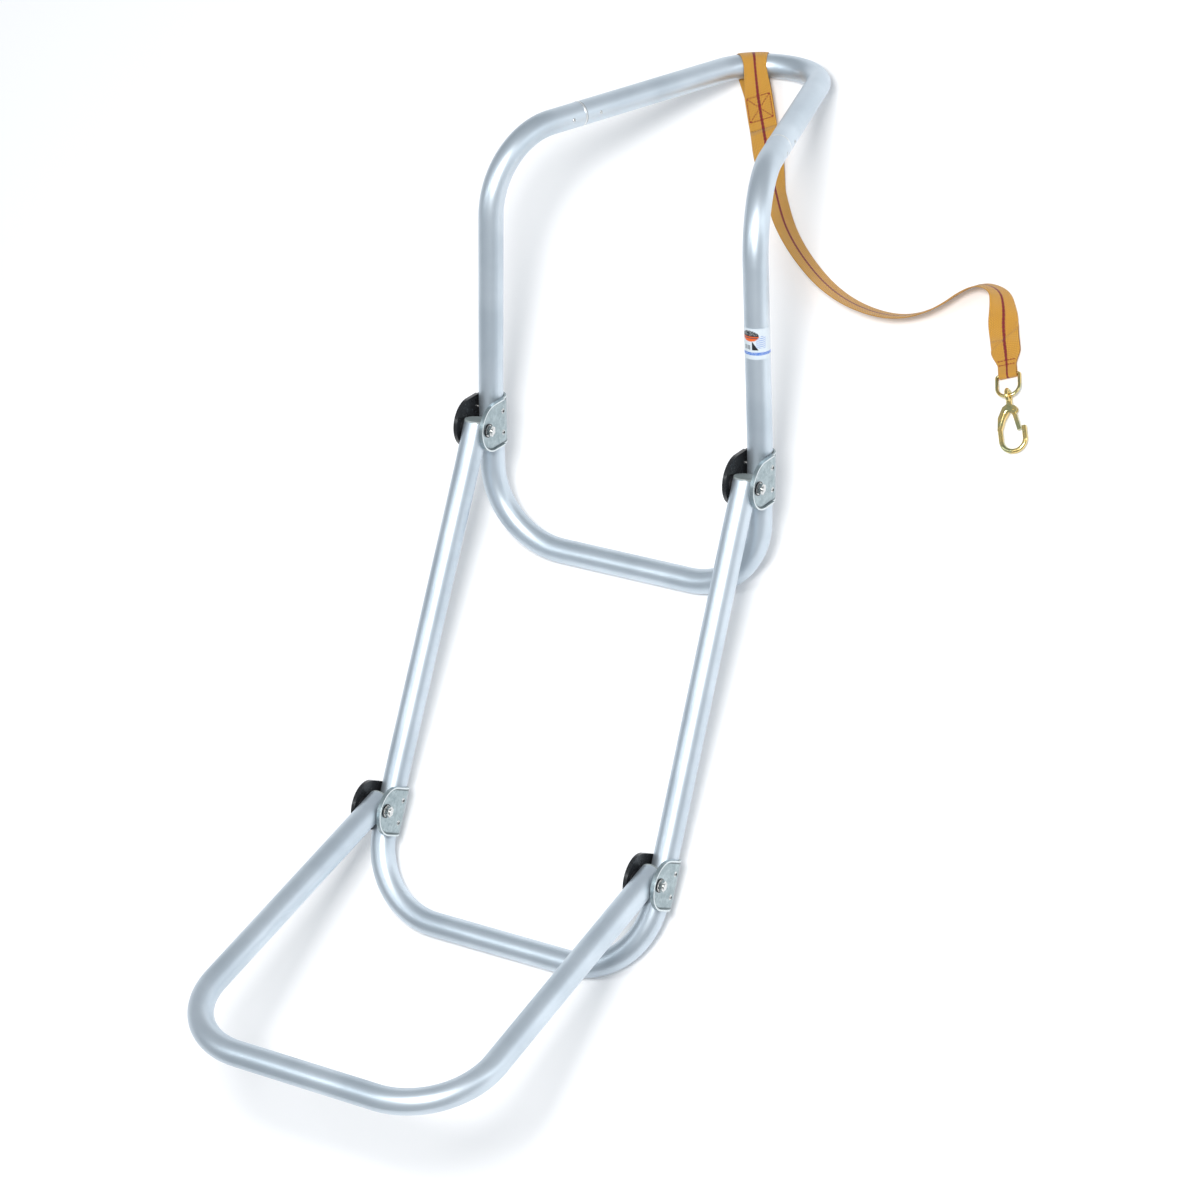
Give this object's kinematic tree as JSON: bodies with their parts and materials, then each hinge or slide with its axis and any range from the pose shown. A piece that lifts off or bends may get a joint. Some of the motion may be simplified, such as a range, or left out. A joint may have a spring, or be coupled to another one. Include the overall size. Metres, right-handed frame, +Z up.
{
  "type": "folding boarding ladder",
  "caption": "Folding tubular boarding ladder with U-shaped rung sections on clamp hinges, a hook bow, and a webbing strap ending in a D-ring and snap hook.",
  "frame": {"origin": "on the floor under the middle of the ladder, which lies on its back; the free strap and its hook are left out of that middle", "axes": "+X along the rungs, +Y up the ladder towards the hook bow, +Z up from the floor"},
  "size_m": [0.5527, 1.157, 0.3021],
  "materials": {
    "tube_aluminium": "satin anodised tube",
    "sleeve_aluminium": "drawn tube",
    "bracket_steel": "zinc-plated pressed sheet",
    "rivet_steel": "domed rivets",
    "liner_plastic": "thin black liner",
    "bolt_steel": "bright zinc-plated bolts and nuts",
    "end_plug_plastic": "grey moulded plug",
    "bush_plastic": "white nylon bush",
    "label_film": "white printed film without lettering",
    "strap_webbing": "woven webbing, golden yellow with a dark red centre stripe",
    "ring_brass": "yellow-passivated wire ring",
    "hook_brass": "yellow-passivated snap hook"
  },
  "bodies": {
    "upper_section": {"bow_rivet_bow_left": "rivet_steel", "bow_rivet_bow_right": "rivet_steel", "bow_rivet_frame_left": "rivet_steel", "bow_rivet_frame_right": "rivet_steel", "bow_sleeve_left": "sleeve_aluminium", "bow_sleeve_right": "sleeve_aluminium", "bow_tube": "tube_aluminium", "clamp_liner_upper_left": "liner_plastic", "clamp_liner_upper_right": "liner_plastic", "hinge_bracket_upper_left": "bracket_steel", "hinge_bracket_upper_right": "bracket_steel", "label_band": "label_film", "lock_nut_upper_left": "bolt_steel", "lock_nut_upper_right": "bolt_steel", "pivot_bolt_upper_left": "bolt_steel", "pivot_bolt_upper_right": "bolt_steel", "rivet_upper_left_high": "rivet_steel", "rivet_upper_left_low": "rivet_steel", "rivet_upper_right_high": "rivet_steel", "rivet_upper_right_low": "rivet_steel", "strap_bow_loop": "strap_webbing", "strap_curve": "strap_webbing", "strap_end_loop": "strap_webbing", "strap_twist_lower": "strap_webbing", "strap_twist_upper": "strap_webbing", "upper_frame_tube": "tube_aluminium"},
    "middle_section": {"clamp_liner_lower_left": "liner_plastic", "clamp_liner_lower_right": "liner_plastic", "end_plug_middle_left": "end_plug_plastic", "end_plug_middle_right": "end_plug_plastic", "hinge_bracket_lower_left": "bracket_steel", "hinge_bracket_lower_right": "bracket_steel", "lock_nut_lower_left": "bolt_steel", "lock_nut_lower_right": "bolt_steel", "middle_frame_tube": "tube_aluminium", "pivot_bolt_lower_left": "bolt_steel", "pivot_bolt_lower_right": "bolt_steel", "pivot_bush_middle_left": "bush_plastic", "pivot_bush_middle_right": "bush_plastic", "rivet_lower_left_high": "rivet_steel", "rivet_lower_left_low": "rivet_steel", "rivet_lower_right_high": "rivet_steel", "rivet_lower_right_low": "rivet_steel"},
    "lower_section": {"end_plug_lower_left": "end_plug_plastic", "end_plug_lower_right": "end_plug_plastic", "lower_frame_tube": "tube_aluminium", "pivot_bush_lower_left": "bush_plastic", "pivot_bush_lower_right": "bush_plastic"},
    "ring": {"d_ring": "ring_brass"},
    "hook": {"snap_hook_body": "hook_brass", "snap_hook_pin": "hook_brass"},
    "gate": {"snap_hook_gate": "hook_brass"}
  },
  "joints": [
    {"name": "middle_fold", "type": "hinge", "parent": "upper_section", "child": "middle_section", "pos_m": [0, 0.10356, 0.11612], "axis": [-1, 0, 0], "range_deg": [-26.05, 89.95]},
    {"name": "lower_fold", "type": "hinge", "parent": "middle_section", "child": "lower_section", "pos_m": [0, -0.28657, 0.06336], "axis": [-1, 0, 0], "range_deg": [-51.15, 113.85]},
    {"name": "ring_swing", "type": "hinge", "parent": "upper_section", "child": "ring", "pos_m": [0.3343, 0.2925, 0.0035], "axis": [-0.9205, -0.3907, 0], "range_deg": [0, 60]},
    {"name": "hook_swing", "type": "hinge", "parent": "ring", "child": "hook", "pos_m": [0.34363, 0.27053, 0.00901], "axis": [-0.9205, -0.3907, 0], "range_deg": [0, 40]},
    {"name": "gate_open", "type": "hinge", "parent": "hook", "child": "gate", "pos_m": [0.35269, 0.25813, 0.00783], "axis": [-0.0307, 0.0722, -0.9969], "range_deg": [0, 14], "stiffness_Nm_per_rad": 0.05, "springref_deg": -11.46}
  ]
}
